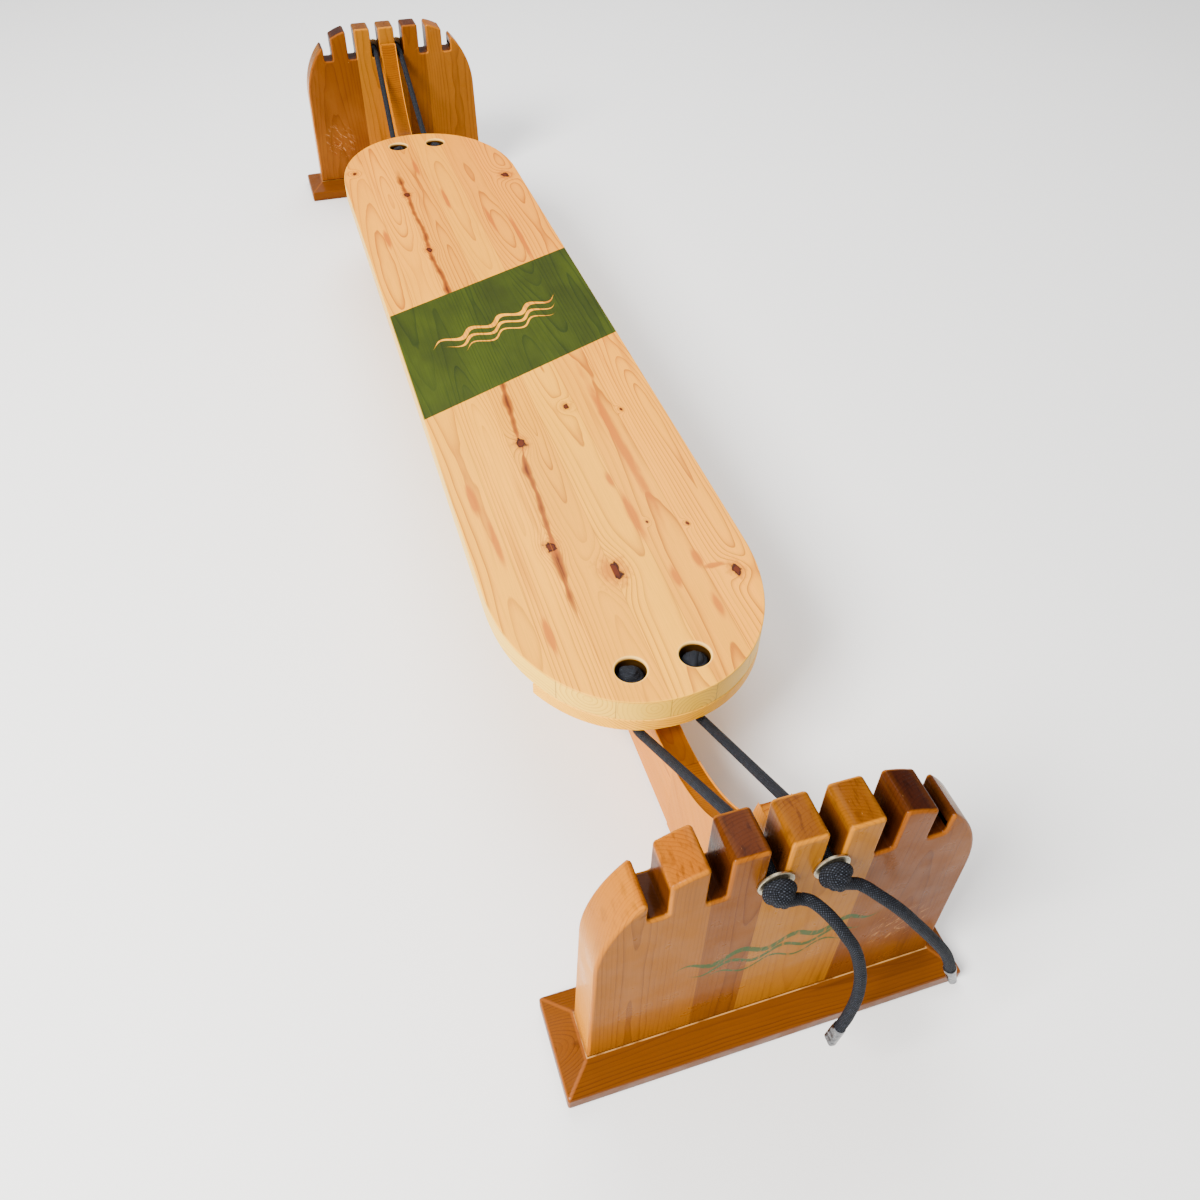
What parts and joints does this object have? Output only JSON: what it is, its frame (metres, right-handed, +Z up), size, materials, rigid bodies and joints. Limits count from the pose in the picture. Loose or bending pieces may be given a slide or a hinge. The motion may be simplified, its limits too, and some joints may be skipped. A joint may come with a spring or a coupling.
{
  "type": "rope-hung balance board",
  "caption": "Round-ended wooden deck hung on short ropes between two slotted uprights on a spine beam, swaying and swinging at either end as a balance trainer.",
  "frame": {"origin": "middle of the footprint, on the floor", "axes": "X across the deck, Y along the deck with the pictured end towards -Y, Z up"},
  "size_m": [0.388, 2.027, 0.306],
  "materials": {
    "deck_pine": "glossy lacquered pine with a stained band",
    "cleat_pine": "satin lacquered pine",
    "upright_wood": "glossy brown stain and lacquer",
    "base_wood": "glossy red-brown stain and lacquer",
    "beam_wood": "lacquered amber pine",
    "dowel_beech": "plain",
    "rope": "dark braided cord",
    "washer_steel": "pale zinc",
    "ferrule_steel": "crimped bright metal",
    "screw_steel": "yellow zinc"
  },
  "bodies": {
    "frame": {"spine_beam": "beam_wood", "near_base_plank": "base_wood", "near_upright": "upright_wood", "near_knee_brace": "beam_wood", "near_base_screw_1": "screw_steel", "near_base_screw_2": "screw_steel", "near_base_screw_3": "screw_steel", "near_upright_dowel_1": "dowel_beech", "near_upright_dowel_2": "dowel_beech", "near_beam_dowel_1": "dowel_beech", "near_beam_dowel_2": "dowel_beech", "near_left_stop_knot": "rope", "near_left_washer": "washer_steel", "near_left_rope_tail": "rope", "near_left_ferrule": "ferrule_steel", "near_right_stop_knot": "rope", "near_right_washer": "washer_steel", "near_right_rope_tail": "rope", "near_right_ferrule": "ferrule_steel", "far_base_plank": "base_wood", "far_upright": "upright_wood", "far_knee_brace": "beam_wood", "far_base_screw_1": "screw_steel", "far_base_screw_2": "screw_steel", "far_base_screw_3": "screw_steel", "far_upright_dowel_1": "dowel_beech", "far_upright_dowel_2": "dowel_beech", "far_beam_dowel_1": "dowel_beech", "far_beam_dowel_2": "dowel_beech", "far_left_stop_knot": "rope", "far_left_washer": "washer_steel", "far_left_rope_tail": "rope", "far_left_ferrule": "ferrule_steel", "far_right_stop_knot": "rope", "far_right_washer": "washer_steel", "far_right_rope_tail": "rope", "far_right_ferrule": "ferrule_steel"},
    "near_rope_ends": {"near_left_deck_knot": "rope", "near_right_deck_knot": "rope"},
    "deck": {"deck_board": "deck_pine", "near_deck_cleat": "cleat_pine", "far_deck_cleat": "cleat_pine", "far_left_deck_knot": "rope", "far_right_deck_knot": "rope", "near_cleat_screw_1": "screw_steel", "near_cleat_screw_2": "screw_steel", "near_cleat_screw_3": "screw_steel", "near_cleat_screw_4": "screw_steel", "far_cleat_screw_1": "screw_steel", "far_cleat_screw_2": "screw_steel", "far_cleat_screw_3": "screw_steel", "far_cleat_screw_4": "screw_steel"},
    "near_left_rope": {"near_left_rope": "rope"},
    "near_right_rope": {"near_right_rope": "rope"},
    "far_left_rope": {"far_left_rope": "rope"},
    "far_right_rope": {"far_right_rope": "rope"}
  },
  "joints": [
    {"name": "near_end_swing", "type": "hinge", "parent": "frame", "child": "near_rope_ends", "pos_m": [0, 0.704, 0.1262], "axis": [0, -0.8279, 0.5609], "range_deg": [-2.9, 2.9], "stiffness_Nm_per_rad": 140},
    {"name": "far_end_swing", "type": "hinge", "parent": "near_rope_ends", "child": "deck", "pos_m": [0, -0.704, 0.1262], "axis": [0, -0.8279, -0.5609], "range_deg": [-2.9, 2.9], "stiffness_Nm_per_rad": 140},
    {"name": "near_left_rope_swing", "type": "hinge", "parent": "frame", "child": "near_left_rope", "pos_m": [-0.02305, -0.9038, 0.2596], "axis": [0, -0.5553, -0.8317], "range_deg": [-9.6, 9.6]},
    {"name": "near_right_rope_swing", "type": "hinge", "parent": "frame", "child": "near_right_rope", "pos_m": [0.02305, -0.9038, 0.2596], "axis": [0, -0.5553, -0.8317], "range_deg": [-9.6, 9.6]},
    {"name": "far_left_rope_swing", "type": "hinge", "parent": "frame", "child": "far_left_rope", "pos_m": [-0.02305, 0.9038, 0.2596], "axis": [0, -0.5553, 0.8317], "range_deg": [-9.6, 9.6]},
    {"name": "far_right_rope_swing", "type": "hinge", "parent": "frame", "child": "far_right_rope", "pos_m": [0.02305, 0.9038, 0.2596], "axis": [0, -0.5553, 0.8317], "range_deg": [-9.6, 9.6]}
  ],
  "couplings": [
    {"joint": "near_left_rope_swing", "follows": "near_end_swing", "ratio": 3.287},
    {"joint": "near_right_rope_swing", "follows": "near_end_swing", "ratio": 3.287},
    {"joint": "far_left_rope_swing", "follows": "far_end_swing", "ratio": 3.287},
    {"joint": "far_right_rope_swing", "follows": "far_end_swing", "ratio": 3.287}
  ]
}
